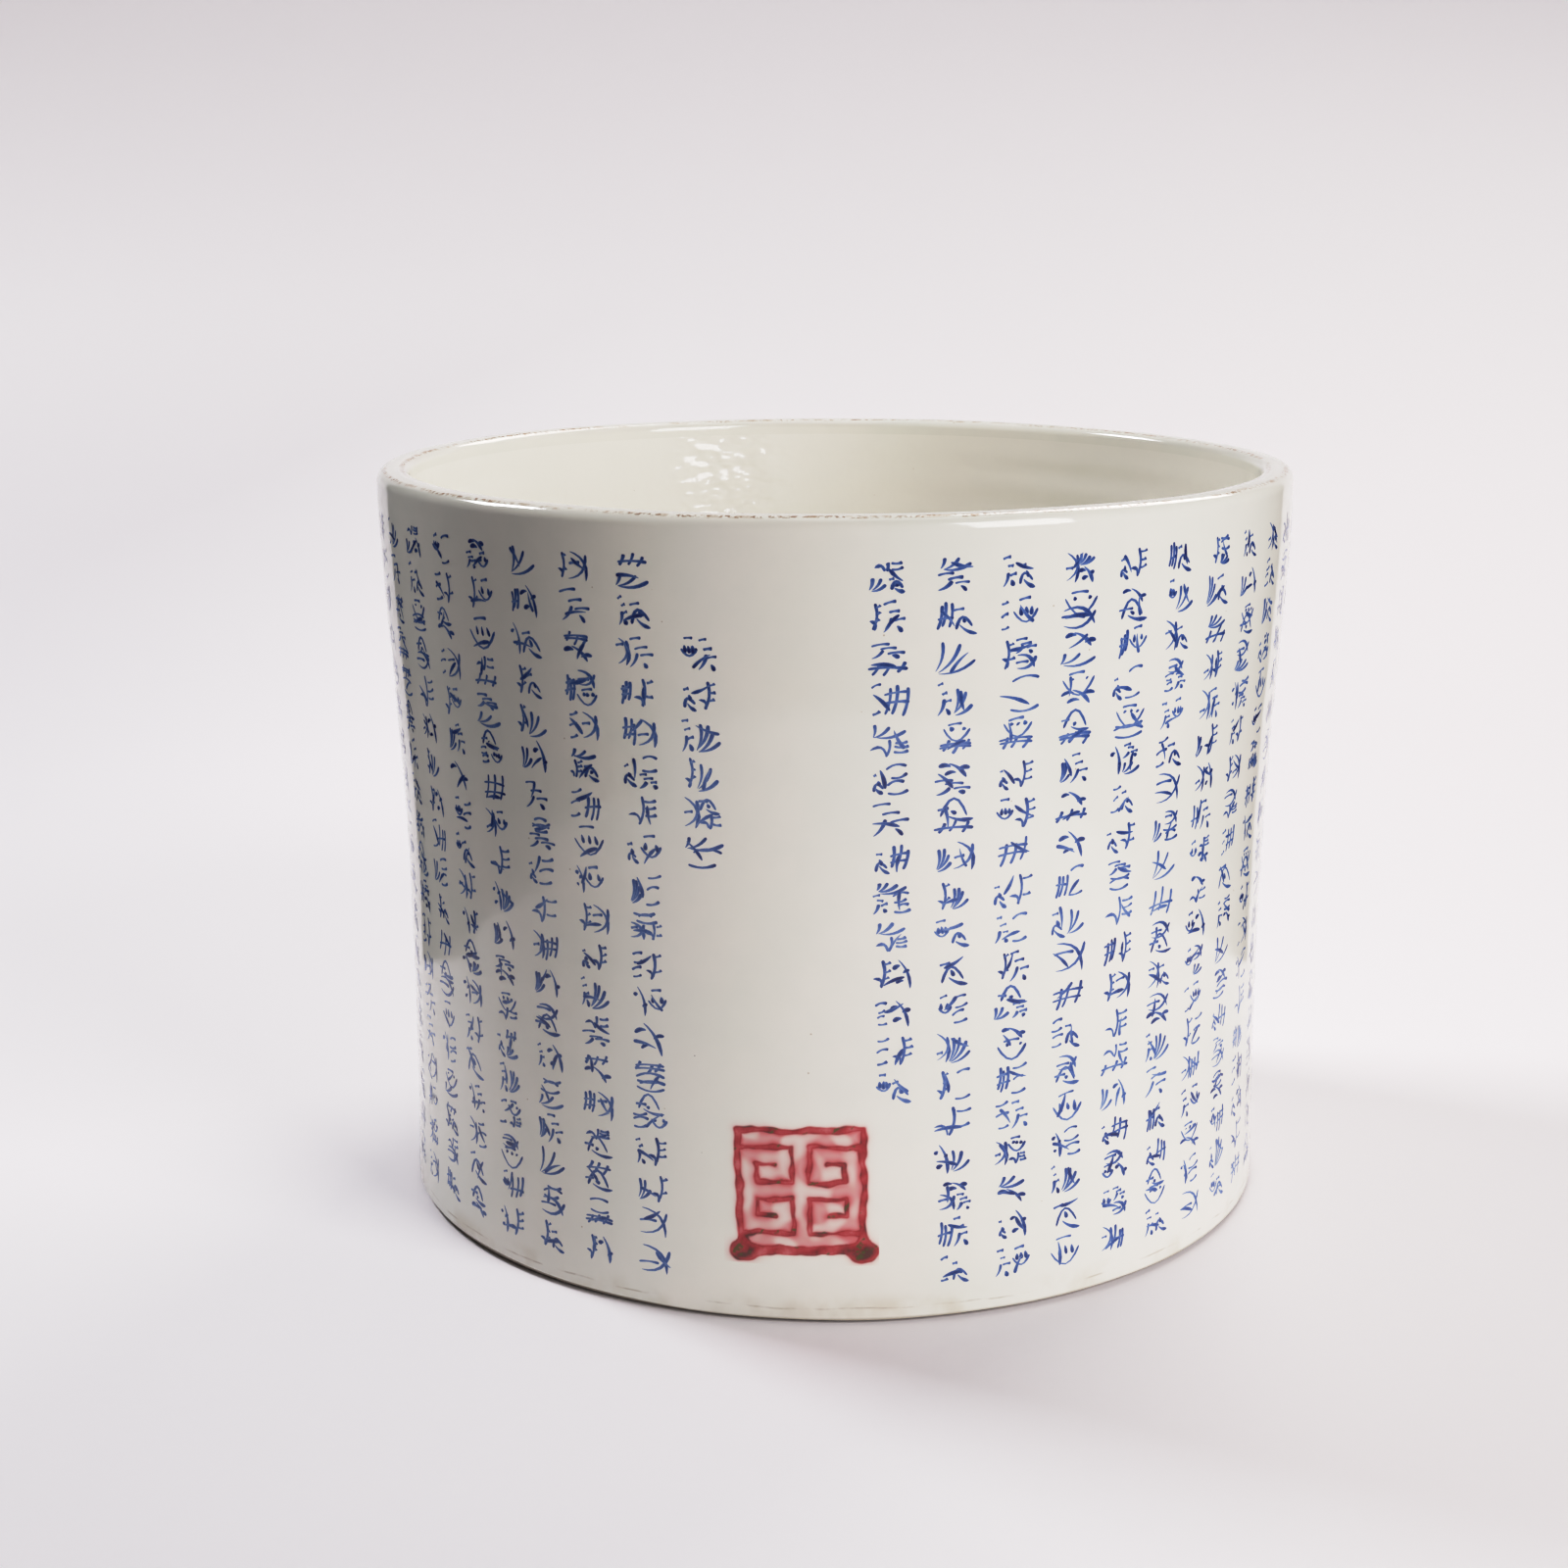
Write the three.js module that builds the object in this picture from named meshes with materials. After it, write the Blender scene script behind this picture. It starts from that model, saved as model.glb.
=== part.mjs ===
// A porcelain brush pot: a thrown cylinder, slightly waisted and flared at the mouth, on a base disc with a
// broad flat foot ring. It is glazed inside and out, and painted with columns of brushwork round one blank
// panel, which carries a square red seal device. Millimetres, +Z up. The origin is the centre of the circle
// that the foot stands on.
import * as THREE from "three";

// ---- Driving dimensions ----

// The finished outside, glaze and all.
const height = 154;
const mouthRadius = 95;
const waistRadius = 91.8;
const waistHeight = 50;
const footRadius = 92.7;
const lipBand = 4; // the wall stands upright over this height under the lip
const flareDelay = 1.4; // over 1 keeps the lower part of the flare straight

// The wall and the lip.
const lipWall = 6.6;
const footWall = 8.0;
const lipOuterRound = 2.4;
const lipInnerRound = 1.8;
const glaze = 0.4;
const seam = 0.05; // what curved faces that are fused in the kiln keep clear of each other as faceted solids

// The base.
const slabThickness = 9;
const coilSize = 7; // the clay coil worked into the corner, up the wall and across the floor
const footRingHeight = 2.0;
const footBevel = 1.6; // how far the bare outer edge is cut in at the bottom
const footInset = 0.3; // how far the bare foot stands in from the clay above it
const recessRadius = 33;

// The columns of brushwork. Column 1 is the short title, and the last column, short as well, closes the text.
const slots = 49; // equal places round the pot, each one column wide
const bareSlots = 2; // the places left empty for the panel
const columnShare = 0.62; // how much of its place a painted column covers
const columnTopMargin = 6.5; // from the lip down
const columnBottomMargin = 6.5; // from the foot up
const titleTopMargin = 21;
const marksInFull = 19;
const marksInTitle = 6;
const marksInClosing = 14;

// The panel and its seal device, a square fret drawn on cells. Angles are from -Y, towards +X. A quarter of
// the fret is drawn inside the frame, its rows from below.
const panelAngle = THREE.MathUtils.degToRad(-4);
const sealWidth = 25.7;
const sealHeight = 26.3;
const sealBottom = 13.9;
const fretQuarter = ["......", "######", ".....#", ".###.#", ".#...#", ".#####"];
const fretCells = 2 * fretQuarter.length + 3; // two quarters, the gap between them and the frame

// The device under the base: two rings round a flower of four petals.
const baseRings = [
  { name: "base_ring_outer", radius: 19 },
  { name: "base_ring_inner", radius: 16.6 },
];
const baseRingWidth = 1.0;
const flowerRadius = 9;
const flowerWaist = 3; // the radius between two petals
const petals = 4;

// Painted films.
const film = 0.25;
const filmGap = 0.3; // what a curved film keeps clear of the faceted coat under it

// How finely the curves are cut.
const aroundSegments = 60;
const upSteps = 5;
const roundSteps = 2;
const ringSegments = 20; // round half a ring of the base device
const flowerSteps = 40;
const leastStep = 1; // closer than this, two stations on a film are one

// ---- Sizes that follow from them ----

const coat = glaze - seam;
const slabTop = footRingHeight + slabThickness;
const floorTop = slabTop + glaze;
const coilTop = slabTop + coilSize;
const outerSpring = height - lipOuterRound; // where the outside turns into the lip
const innerSpring = height - lipInnerRound;
const written = slots - bareSlots;
const pitchAngle = (2 * Math.PI) / slots;
const columnTop = height - columnTopMargin;
const markPitch = (columnTop - columnBottomMargin) / marksInFull;

// The finished outside: a parabola from the foot in to the waist, then a smooth step out to the lip band.
function outerRadius(z) {
  if (z < waistHeight) return waistRadius + (footRadius - waistRadius) * (1 - z / waistHeight) ** 2;
  const t = Math.min((z - waistHeight) / (height - lipBand - waistHeight), 1) ** flareDelay;
  return waistRadius + (mouthRadius - waistRadius) * t * t * (3 - 2 * t);
}

// The finished inside: the wall thins evenly from the floor to the lip.
function innerRadius(z) {
  const share = (z - floorTop) / (height - floorTop);
  return outerRadius(z) - footWall - (lipWall - footWall) * share;
}

// ---- Outlines, as points of radius and height ----

const point = (r, z) => new THREE.Vector2(r, z);

function evenly(low, high, steps) {
  return Array.from({ length: steps + 1 }, (_, i) => THREE.MathUtils.lerp(low, high, i / steps));
}

const outerStations = evenly(slabTop, outerSpring, upSteps);
const coatStations = [footRingHeight, ...outerStations];
const innerStations = [slabTop, ...evenly(coilTop, innerSpring, upSteps)];

// The two faces of the clay, under the glaze, rising from the slab.
const clayOutside = outerStations.map((z) => point(outerRadius(z) - glaze, z));
const clayInside = innerStations.map((z) => point(innerRadius(z) + glaze, z));

// A quarter turn of a round, starting at an angle and turning by a sign.
function quarterTurn(centre, radius, start, sign) {
  return evenly(0, Math.PI / 2, roundSteps).map((a) =>
    point(centre.x + radius * Math.cos(start + sign * a), centre.y + radius * Math.sin(start + sign * a)),
  );
}

// Over the lip from the outside to the inside, sunk by a depth into the finished surface.
function lipLine(depth) {
  const outer = point(outerRadius(outerSpring) - lipOuterRound, outerSpring);
  const inner = point(innerRadius(innerSpring) + lipInnerRound, innerSpring);
  return [
    point(outerRadius(outerSpring) - depth, outerSpring),
    ...quarterTurn(outer, lipOuterRound - depth, 0, 1).slice(1),
    ...quarterTurn(inner, lipInnerRound - depth, Math.PI / 2, 1).slice(0, -1),
    point(innerRadius(innerSpring) + depth, innerSpring),
  ];
}

// Round the inside corner from the wall down to the floor, sunk by a depth into the finished surface.
function cornerLine(depth) {
  const wallSide = innerRadius(coilTop) + depth;
  const centre = point(innerRadius(coilTop) + glaze - coilSize, coilTop);
  const radius = wallSide - centre.x;
  return [point(wallSide, coilTop), ...quarterTurn(centre, radius, 0, -1).slice(1)];
}

// ---- Ways to make a mesh ----

const finishes = {
  clay: { color: 0xcdbfa8, roughness: 0.8 },
  glaze: { color: 0xdcdacf, roughness: 0.1 },
  cobalt: { color: 0x3d4c9e, roughness: 0.2 },
  red: { color: 0xb12a40, roughness: 0.2 },
};

function part(name, finish, geometry) {
  const material = new THREE.MeshStandardMaterial({ ...finishes[finish], metalness: 0 });
  const mesh = new THREE.Mesh(geometry, material);
  mesh.name = name;
  return mesh;
}

// A turned piece: a half outline spun about +Z. An outline that starts off the axis is closed on itself.
function turned(outline) {
  const closed = outline[0].x === 0 ? outline : [...outline, outline[0]];
  return new THREE.LatheGeometry(closed, aroundSegments).rotateX(Math.PI / 2);
}

// The radius of the outer coat as it is cut, straight from one station to the next.
function coatRadius(z) {
  const last = coatStations.length - 1;
  const above = THREE.MathUtils.clamp(coatStations.filter((station) => station < z).length, 1, last);
  const [low, high] = coatStations.slice(above - 1, above + 1);
  return THREE.MathUtils.lerp(outerRadius(low), outerRadius(high), (z - low) / (high - low));
}

// A point of a film on the outside of the wall. Its depth is 0 at the film's back and 1 at its face.
function onWallFilm(angle, z, depth) {
  const r = coatRadius(z) + filmGap + film * depth;
  return [r * Math.sin(angle), -r * Math.cos(angle), z];
}

// A plain film on the wall between two angles, which bends at the same heights as the coat under it.
function wallFilm(angles, low, high) {
  const between = outerStations.filter((z) => z > low + leastStep && z < high - leastStep);
  const heights = [low, ...between, high];
  const up = heights.length - 1;
  const plate = new THREE.BoxGeometry(1, 1, 1, 1, up, 1).translate(0.5, 0.5, 0.5);
  const at = plate.getAttribute("position");
  for (let i = 0; i < at.count; i++) {
    const angle = THREE.MathUtils.lerp(...angles, at.getX(i));
    const z = heights[Math.round(at.getY(i) * up)];
    at.setXYZ(i, ...onWallFilm(angle, z, at.getZ(i)));
  }
  return plate;
}

// A film on the wall that covers only the painted cells of a square grid, as one body.
function cellFilm(cells, isPainted, angles, heights) {
  const side = cells + 1;
  const row = (z, depth) => evenly(...angles, cells).flatMap((angle) => onWallFilm(angle, z, depth));
  const positions = [0, 1].flatMap((depth) => evenly(...heights, cells).flatMap((z) => row(z, depth)));
  const indices = [];
  const quad = (...corners) => {
    const [a, b, c, d] = corners.map(([column, row, depth]) => (depth * side + row) * side + column);
    indices.push(a, b, c, a, c, d);
  };
  for (let i = 0; i < cells; i++) {
    for (let j = 0; j < cells; j++) {
      if (!isPainted(i, j)) continue;
      quad([i, j, 1], [i + 1, j, 1], [i + 1, j + 1, 1], [i, j + 1, 1]);
      quad([i, j, 0], [i, j + 1, 0], [i + 1, j + 1, 0], [i + 1, j, 0]);
      if (!isPainted(i - 1, j)) quad([i, j, 0], [i, j, 1], [i, j + 1, 1], [i, j + 1, 0]);
      if (!isPainted(i + 1, j)) quad([i + 1, j, 0], [i + 1, j + 1, 0], [i + 1, j + 1, 1], [i + 1, j, 1]);
      if (!isPainted(i, j - 1)) quad([i, j, 0], [i + 1, j, 0], [i + 1, j, 1], [i, j, 1]);
      if (!isPainted(i, j + 1)) quad([i, j + 1, 0], [i, j + 1, 1], [i + 1, j + 1, 1], [i + 1, j + 1, 0]);
    }
  }
  const film = new THREE.BufferGeometry();
  film.setAttribute("position", new THREE.Float32BufferAttribute(positions, 3));
  film.setIndex(indices);
  film.computeVertexNormals();
  return film;
}

// A flat film glued under the recess glaze.
function baseFilm(shape) {
  const top = footRingHeight - glaze;
  const settings = { depth: film, bevelEnabled: false, curveSegments: ringSegments };
  return new THREE.ExtrudeGeometry(shape, settings).translate(0, 0, top - film);
}

// ---- The clay ----

// The wall, thrown as an open cylinder. It stands on the slab and takes the whole lip.
function wall() {
  return turned([...clayOutside, ...lipLine(glaze).slice(1, -1), ...clayInside.toReversed()]);
}

// The disc that closes the bottom. Its rim runs out to the outside of the wall.
function slab() {
  const rimFoot = point(outerRadius(footRingHeight) - glaze, footRingHeight);
  return turned([point(0, footRingHeight), rimFoot, clayOutside[0], point(0, slabTop)]);
}

// The coil of soft clay worked into the inside corner, which ties the wall to the slab.
function cornerCoil() {
  const [wallFoot, wallHead] = clayInside.map(({ x, y }) => point(x - seam, y));
  return turned([wallFoot, wallHead, ...cornerLine(glaze).slice(1)]);
}

// The broad bare ring that the pot stands on, with its outer edge bevelled.
function footRing() {
  const outer = outerRadius(footRingHeight) - glaze - footInset;
  return turned([
    point(recessRadius, 0),
    point(outer - footBevel, 0),
    point(outer, footRingHeight),
    point(recessRadius, footRingHeight),
  ]);
}

// ---- The glaze ----

// The coat outside, from the foot ring up to the lip.
function outerGlaze() {
  const face = coatStations.map((z) => point(outerRadius(z), z));
  const back = coatStations.map((z) => point(outerRadius(z) - coat, z));
  return turned([...face, ...back.toReversed()]);
}

// The coat over the lip, between the outer coat and the lining.
function lipGlaze() {
  return turned([...lipLine(0), ...lipLine(coat).toReversed()]);
}

// The lining, over the floor, round the corner and up the wall.
function liningGlaze() {
  const line = (depth) => [
    ...innerStations.slice(2).map((z) => point(innerRadius(z) + depth, z)).toReversed(),
    ...cornerLine(depth),
  ];
  const face = line(0);
  const back = line(coat);
  return turned([point(0, back.at(-1).y), ...back.toReversed(), ...face, point(0, face.at(-1).y)]);
}

// The coat in the recess inside the foot ring.
function recessGlaze() {
  const rim = recessRadius - seam;
  const low = footRingHeight - glaze;
  return turned([point(0, low), point(rim, low), point(rim, footRingHeight), point(0, footRingHeight)]);
}

// ---- The painting ----

// One painted column. They run to the left from the panel, as the text is read.
function column(index) {
  const middle = panelAngle - (index + (bareSlots + 1) / 2) * pitchAngle;
  const half = (columnShare * pitchAngle) / 2;
  const isTitle = index === 0;
  const isClosing = index === written - 1;
  const marks = isTitle ? marksInTitle : isClosing ? marksInClosing : marksInFull;
  const top = isTitle ? height - titleTopMargin : columnTop;
  return wallFilm([middle - half, middle + half], top - marks * markPitch, top);
}

// Whether a cell of the seal device is painted: the frame, or one of four equal frets that mirror each other
// across the middle.
function isFret(column, row) {
  const last = fretCells - 1;
  const fromSide = Math.min(column, last - column);
  const fromEnd = Math.min(row, last - row);
  if (fromSide < 0 || fromEnd < 0) return false;
  if (fromSide === 0 || fromEnd === 0) return true;
  return fretQuarter[fromEnd - 1]?.[fromSide - 1] === "#";
}

function sealDevice() {
  const half = sealWidth / outerRadius(sealBottom) / 2;
  const angles = [panelAngle - half, panelAngle + half];
  return cellFilm(fretCells, isFret, angles, [sealBottom, sealBottom + sealHeight]);
}

function baseRing(radius) {
  const shape = new THREE.Shape().absarc(0, 0, radius + baseRingWidth / 2, 0, 2 * Math.PI);
  shape.holes.push(new THREE.Path().absarc(0, 0, radius - baseRingWidth / 2, 0, 2 * Math.PI, true));
  return baseFilm(shape);
}

// The flower's outline: the radius swings between petal tip and waist as it goes round.
function baseFlower() {
  const outline = evenly(0, 2 * Math.PI, flowerSteps).slice(0, -1).map((a) => {
    const swing = (1 + Math.cos(petals * a)) / 2;
    const r = THREE.MathUtils.lerp(flowerWaist, flowerRadius, swing);
    return point(r * Math.cos(a), r * Math.sin(a));
  });
  return baseFilm(new THREE.Shape(outline));
}

// ---- The pot ----

const pot = new THREE.Group();
pot.add(
  part("body_wall", "clay", wall()),
  part("base_slab", "clay", slab()),
  part("corner_coil", "clay", cornerCoil()),
  part("foot_ring", "clay", footRing()),
  part("outer_glaze", "glaze", outerGlaze()),
  part("lip_glaze", "glaze", lipGlaze()),
  part("lining_glaze", "glaze", liningGlaze()),
  part("recess_glaze", "glaze", recessGlaze()),
);
for (let index = 0; index < written; index++) {
  const number = String(index + 1).padStart(2, "0");
  pot.add(part(`brush_column_${number}`, "cobalt", column(index)));
}
pot.add(part("seal_device", "red", sealDevice()));
for (const { name, radius } of baseRings) {
  pot.add(part(name, "cobalt", baseRing(radius)));
}
pot.add(part("base_flower", "cobalt", baseFlower()));

export default pot;
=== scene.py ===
"""A porcelain brush pot with columns of brushwork and one red seal device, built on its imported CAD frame."""

import bpy
import numpy as np
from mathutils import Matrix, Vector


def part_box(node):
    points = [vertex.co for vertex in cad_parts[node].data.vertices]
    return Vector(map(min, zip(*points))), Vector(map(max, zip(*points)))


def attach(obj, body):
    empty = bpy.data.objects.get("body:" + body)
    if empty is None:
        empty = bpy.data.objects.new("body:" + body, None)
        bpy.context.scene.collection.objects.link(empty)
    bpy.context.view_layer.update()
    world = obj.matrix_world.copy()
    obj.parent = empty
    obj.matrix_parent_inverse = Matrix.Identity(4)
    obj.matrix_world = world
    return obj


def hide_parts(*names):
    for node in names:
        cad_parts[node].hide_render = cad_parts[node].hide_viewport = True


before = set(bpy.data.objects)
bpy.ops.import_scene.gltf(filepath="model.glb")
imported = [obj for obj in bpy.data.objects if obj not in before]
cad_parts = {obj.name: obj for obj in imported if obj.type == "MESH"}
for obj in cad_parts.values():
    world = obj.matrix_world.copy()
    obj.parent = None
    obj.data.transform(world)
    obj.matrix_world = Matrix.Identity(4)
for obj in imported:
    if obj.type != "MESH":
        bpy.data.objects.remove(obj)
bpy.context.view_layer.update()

# ---- The thrown wall ----
# The wall is a cylinder of white porcelain clay, thrown on a wheel, drawn in a little at the waist and let
# out at the mouth. It is fired hard, and glaze covers it inside and out.
# The sizes are in millimetres, and angles run from -Y towards +X.

mm = 0.001
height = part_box("lip_glaze")[1][2] / mm
slab_low, slab_high = (corner[2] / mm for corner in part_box("base_slab"))
mouth_radius = 95.0
waist_radius, waist_height, foot_radius = 91.8, 50.0, 92.7
lip_band, flare_delay = 4.0, 1.4
lip_wall, foot_wall = 6.6, 8.0
lip_outer_round, lip_inner_round, lip_crown = 2.4, 1.8, 0.12
glaze = 0.4
outer_spring = height - lip_outer_round
inner_spring = height - lip_inner_round
floor_top = slab_high + glaze
# The steps between the points of an outline and the points round a turn: coarse where glaze hides the clay.
coarse, fine = 4.0, 1.2
coarse_turn, fine_turn = 180, 360
crisp_fold = np.radians(40)


def outside_radius(z):
    """The finished outside: a parabola in to the waist, then a smooth step out to the upright lip band."""
    foot = waist_radius + (foot_radius - waist_radius) * (1 - z / waist_height) ** 2
    t = np.clip((z - waist_height) / (height - lip_band - waist_height), 0, 1) ** flare_delay
    flare = waist_radius + (mouth_radius - waist_radius) * t * t * (3 - 2 * t)
    return np.where(z < waist_height, foot, flare)


def inside_radius(z):
    """The finished inside: the outside less a wall that thins evenly from the floor to the lip."""
    return outside_radius(z) - foot_wall - (lip_wall - foot_wall) * (z - floor_top) / (height - floor_top)


def throwing(angle, r, z):
    """How far the thrown clay strays from true: the outward and the upward departure at a point.

    It is out of round by low waves of the angle and uneven by slow waves of the height. Finger rings, waves
    of the height whose phase drifts round the pot, show only on the inner face, which lies well inside the
    outer radius. Nearer the lip the top edge rises and falls by a few waves of the angle."""
    above_foot = np.clip((z - slab_low) / 6, 0, 1) * np.clip((r - 60) / 20, 0, 1)
    out_of_round = 0.16 * np.cos(2 * angle - 1.4) + 0.07 * np.cos(3 * angle + 0.6) * z / height
    uneven = 0.035 * np.sin(z / 3.6 + 1.3 * np.sin(angle)) + 0.03 * np.sin(z / 8.3 + 2 * np.cos(angle + 1))
    inner = np.clip((outside_radius(z) - r - 4) / 2, 0, 1) * np.clip((z - floor_top - 6) / 8, 0, 1)
    inner = inner * np.clip((height - 3 - z) / 6, 0, 1)
    rings = 0.1 * np.sin(z / 1.25 + 1.6 * np.sin(angle + 0.5)) * (0.6 + 0.4 * np.sin(2 * angle + z / 14))
    near_lip = np.clip((z - height + 14) / 14, 0, 1) ** 2
    wavy_lip = 0.14 * np.sin(2 * angle + 0.8) + 0.06 * np.sin(5 * angle) + 0.03 * np.sin(11 * angle + 2)
    return above_foot * (out_of_round + uneven + inner * rings), near_lip * wavy_lip


def put_mesh(name, points, *face_blocks, **attributes):
    """A smooth mesh of points in millimetres and blocks of faces, each block an array of corner numbers.

    Attributes are values at the points. Edges that fold by more than the crisp fold stay sharp."""
    mesh = bpy.data.meshes.new(name)
    corners = np.concatenate([block.ravel() for block in face_blocks]).astype(np.int32)
    sizes = np.concatenate([np.full(len(block), block.shape[1]) for block in face_blocks])
    starts = np.concatenate([[0], np.cumsum(sizes)[:-1]]).astype(np.int32)
    mesh.vertices.add(len(points))
    mesh.vertices.foreach_set("co", (np.asarray(points) * mm).astype(np.float32).ravel())
    mesh.loops.add(len(corners))
    mesh.loops.foreach_set("vertex_index", corners)
    mesh.polygons.add(len(starts))
    mesh.polygons.foreach_set("loop_start", starts)
    for attribute, values in attributes.items():
        layer = mesh.attributes.new(attribute, "FLOAT", "POINT")
        layer.data.foreach_set("value", np.asarray(values).astype(np.float32).ravel())
    mesh.update(calc_edges=True)
    mesh.shade_smooth()
    mesh.set_sharp_from_angle(angle=crisp_fold)
    piece = bpy.data.objects.new(name, mesh)
    bpy.context.scene.collection.objects.link(piece)
    return piece


def grid_faces(rows, columns, closed_rows=False, closed_columns=False):
    """The quads of a grid of points numbered row by row, each going one to the right and then one up."""
    i = np.arange(rows if closed_rows else rows - 1)[:, None]
    j = np.arange(columns if closed_columns else columns - 1)[None, :]
    up, right = (i + 1) % rows, (j + 1) % columns
    corners = (i * columns + j, i * columns + right, up * columns + right, up * columns + j)
    return np.stack(np.broadcast_arrays(*corners), axis=-1).reshape(-1, 4)


def turned(name, outline, around=fine_turn, sag=None):
    """An outline of (radius, height) points spun about +Z, with the thrower's departures added.

    The point (r, z) at an angle a lies at (r sin a, -r cos a, z). The outline climbs the outer face and comes
    down the inner one. One that starts and ends on the axis closes there in two poles, and any other closes
    on itself. A sag, a function of the angle and the height, lets points down."""
    r, z = np.asarray(outline, float).T
    has_poles = r[0] == 0
    if has_poles:
        poles = np.array([[0, 0, z[0]], [0, 0, z[-1]]])
        r, z = r[1:-1], z[1:-1]
    angle = np.linspace(0, 2 * np.pi, around, endpoint=False)
    outward, upward = throwing(angle[None, :], r[:, None], z[:, None])
    if sag:
        upward = upward - sag(angle[None, :], z[:, None])
    radius = r[:, None] + outward
    points = np.stack([radius * np.sin(angle), -radius * np.cos(angle), z[:, None] + upward], axis=-1)
    points = points.reshape(-1, 3)
    faces = [grid_faces(len(r), around, closed_rows=not has_poles, closed_columns=True)]
    if has_poles:
        j = np.arange(around)
        right = (j + 1) % around
        last_row = (len(r) - 1) * around
        faces.append(np.stack([np.full(around, len(points)), right, j], axis=-1))
        faces.append(np.stack([last_row + j, last_row + right, np.full(around, len(points) + 1)], axis=-1))
        points = np.concatenate([points, poles])
    return put_mesh(name, points, *faces)


def evenly(low, high, step):
    """Numbers from low to high, no further apart than the step."""
    return np.linspace(low, high, int(np.ceil(abs(high - low) / step)) + 1)


def on_face(radius_at, z, depth=0.0):
    """Outline points at the heights z on a face, moved outwards by a depth."""
    return np.stack([radius_at(z) + depth, z], axis=-1)


def bend(centre, radius, start, stop, steps=14):
    """Outline points on an arc between two angles in degrees, where 0 points away from the axis."""
    a = np.radians(np.linspace(start, stop, steps + 1))
    return np.stack([centre[0] + radius * np.cos(a), centre[1] + radius * np.sin(a)], axis=-1)


def over_the_lip(depth):
    """From the outer spring of the lip over to the inner one, sunk by a depth into the finished surface."""
    outer_centre = (outside_radius(outer_spring) - lip_outer_round, outer_spring)
    inner_centre = (inside_radius(inner_spring) + lip_inner_round, inner_spring)
    outer = bend(outer_centre, lip_outer_round - depth, 0, 90)
    inner = bend(inner_centre, lip_inner_round - depth, 90, 180)
    share = np.linspace(0, 1, 9)[1:-1, None]
    crown = outer[-1] + (inner[0] - outer[-1]) * share + np.array([0, lip_crown]) * np.sin(np.pi * share)
    return np.concatenate([outer, crown, inner])


class Wire:
    """A shader socket. Sums, differences and products of wires and numbers add Math nodes."""

    def __init__(self, paint, socket):
        self.paint = paint
        self.socket = socket

    def __add__(self, other):
        return self.paint.math("ADD", self, other)

    def __sub__(self, other):
        return self.paint.math("SUBTRACT", self, other)

    def __rsub__(self, other):
        return self.paint.math("SUBTRACT", other, self)

    def __mul__(self, other):
        return self.paint.math("MULTIPLY", self, other)

    def __rmul__(self, other):
        return self.paint.math("MULTIPLY", other, self)


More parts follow.
